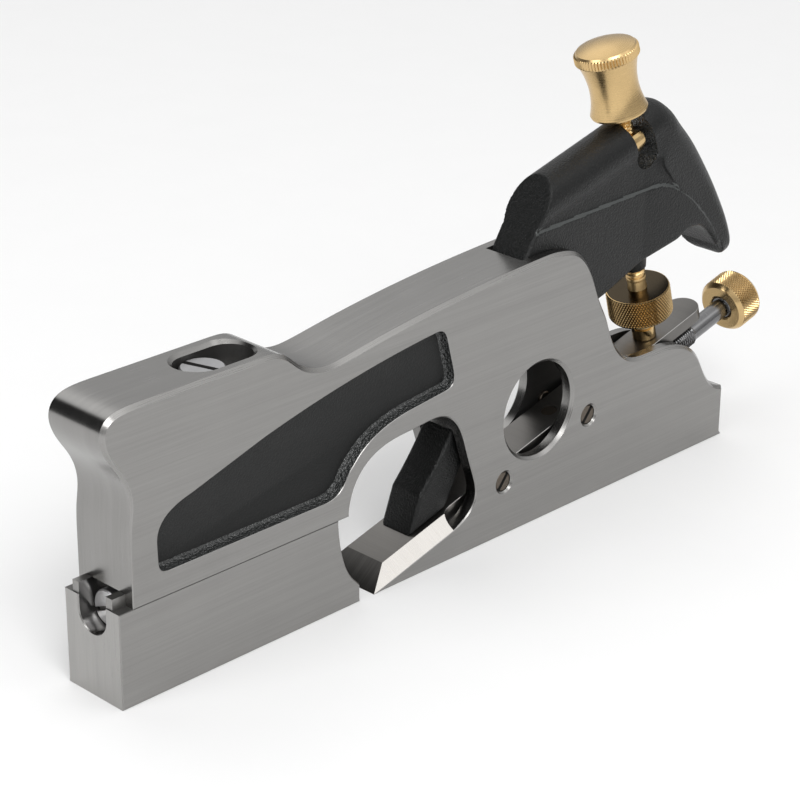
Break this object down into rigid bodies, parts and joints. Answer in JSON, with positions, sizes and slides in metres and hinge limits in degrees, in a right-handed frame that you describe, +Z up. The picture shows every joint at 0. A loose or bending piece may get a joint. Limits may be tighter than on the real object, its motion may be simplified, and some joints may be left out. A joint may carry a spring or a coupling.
{
  "type": "shoulder plane",
  "caption": "Low-angle metal shoulder plane with adjustable toe, bevel-up blade, black lever cap with a swinging brass palm knob, clamp wheel and screw adjuster.",
  "frame": {"origin": "centre of the sole, in the sole's plane and the plane's middle plane", "axes": "+X from the toe to the heel, +Y to the far side, +Z up from the sole"},
  "size_m": [0.2212, 0.019, 0.1107],
  "materials": {
    "ground_iron": "ground and brushed along the length",
    "blade_steel": "surface ground",
    "black_paint": "black baked enamel with a fine pebble",
    "brass": "turned, satin",
    "steel_screw": "turned"
  },
  "bodies": {
    "body": {"body": "ground_iron"},
    "toe": {"toe": "ground_iron"},
    "toe_lock_screw": {"toe_lock_screw": "steel_screw"},
    "toe_adjust_screw": {"toe_adjust_screw": "steel_screw"},
    "adjuster_pivot": {"adjuster_pivot": "steel_screw"},
    "traveller": {"adjuster_traveller": "steel_screw"},
    "feed_screw": {"adjuster_rod": "steel_screw", "adjuster_knob": "brass", "traveller_clip": "steel_screw"},
    "blade": {"blade": "blade_steel"},
    "lever_cap": {"lever_cap": "black_paint", "stud_pivot_pin": "steel_screw"},
    "clamp_foot": {"clamp_foot": "brass"},
    "clamp_wheel": {"clamp_wheel": "brass"},
    "palm_stud": {"palm_stud": "brass"},
    "palm_knob": {"palm_knob": "brass"},
    "set_screw_front_near": {"set_screw_front_near": "steel_screw"},
    "set_screw_front_far": {"set_screw_front_far": "steel_screw"},
    "set_screw_rear_near": {"set_screw_rear_near": "steel_screw"},
    "set_screw_rear_far": {"set_screw_rear_far": "steel_screw"}
  },
  "joints": [
    {"name": "toe_slide", "type": "slide", "parent": "body", "child": "toe", "axis": [1, 0, 0], "range_m": [-0.0015, 0.004]},
    {"name": "toe_adjust_turn", "type": "hinge", "parent": "toe", "child": "toe_adjust_screw", "pos_m": [-0.0962, 0, 0.0193], "axis": [1, 0, 0], "range_deg": [-540.2, 1440.2]},
    {"name": "toe_lock_turn", "type": "hinge", "parent": "toe", "child": "toe_lock_screw", "pos_m": [-0.0684, 0, 0.06], "axis": [0, 0, 1], "range_deg": [0, 360]},
    {"name": "adjuster_swing", "type": "hinge", "parent": "body", "child": "adjuster_pivot", "pos_m": [0.06573, 0, 0.02485], "axis": [-0.2588, 0, 0.9659], "range_deg": [-0.6, 0.6]},
    {"name": "blade_feed", "type": "slide", "parent": "adjuster_pivot", "child": "traveller", "axis": [0.9659, 0, 0.2588], "range_m": [-0.001, 0.0004]},
    {"name": "adjuster_turn", "type": "hinge", "parent": "traveller", "child": "feed_screw", "pos_m": [0.07112, 0, 0.02018], "axis": [0.9659, 0, 0.2588], "range_deg": [-450.2, 180.2]},
    {"name": "blade_skew", "type": "hinge", "parent": "traveller", "child": "blade", "pos_m": [0.04255, 0, 0.01863], "axis": [-0.2588, 0, 0.9659], "range_deg": [-1.2, 1.2]},
    {"name": "lever_cap_tilt", "type": "hinge", "parent": "body", "child": "lever_cap", "pos_m": [0.0132, 0, 0.0499], "axis": [0, 1, 0], "range_deg": [0, 1.42]},
    {"name": "clamp_feed", "type": "slide", "parent": "lever_cap", "child": "clamp_foot", "axis": [-0.2588, 0, 0.9659], "range_m": [0, 0.0015]},
    {"name": "clamp_turn", "type": "hinge", "parent": "clamp_foot", "child": "clamp_wheel", "pos_m": [0.0757, 0, 0.03787], "axis": [-0.2588, 0, 0.9659], "range_deg": [0, 540.2]},
    {"name": "knob_swing", "type": "hinge", "parent": "lever_cap", "child": "palm_stud", "pos_m": [0.0664, 0, 0.08525], "axis": [0.9659, 0, 0.2588], "range_deg": [-84.5, 95.5]},
    {"name": "knob_turn", "type": "hinge", "parent": "palm_stud", "child": "palm_knob", "pos_m": [0.0664, 0, 0.08525], "axis": [-0.2576, 0.0958, 0.9615], "range_deg": [-360, 720]},
    {"name": "set_screw_front_near_in", "type": "slide", "parent": "body", "child": "set_screw_front_near", "axis": [0, 1, 0], "range_m": [-0.002, 0]},
    {"name": "set_screw_front_far_in", "type": "slide", "parent": "body", "child": "set_screw_front_far", "axis": [0, -1, 0], "range_m": [-0.002, 0]},
    {"name": "set_screw_rear_near_in", "type": "slide", "parent": "body", "child": "set_screw_rear_near", "axis": [0, 1, 0], "range_m": [-0.002, 0]},
    {"name": "set_screw_rear_far_in", "type": "slide", "parent": "body", "child": "set_screw_rear_far", "axis": [0, -1, 0], "range_m": [-0.002, 0]}
  ],
  "couplings": [
    {"joint": "toe_adjust_turn", "follows": "toe_slide", "rad_per_m": 6283.2},
    {"joint": "adjuster_turn", "follows": "blade_feed", "rad_per_m": 7854},
    {"joint": "blade_skew", "follows": "adjuster_swing", "ratio": -1.879},
    {"joint": "clamp_turn", "follows": "lever_cap_tilt", "ratio": 380.08},
    {"joint": "clamp_feed", "follows": "lever_cap_tilt", "m_per_rad": 0.060491}
  ]
}
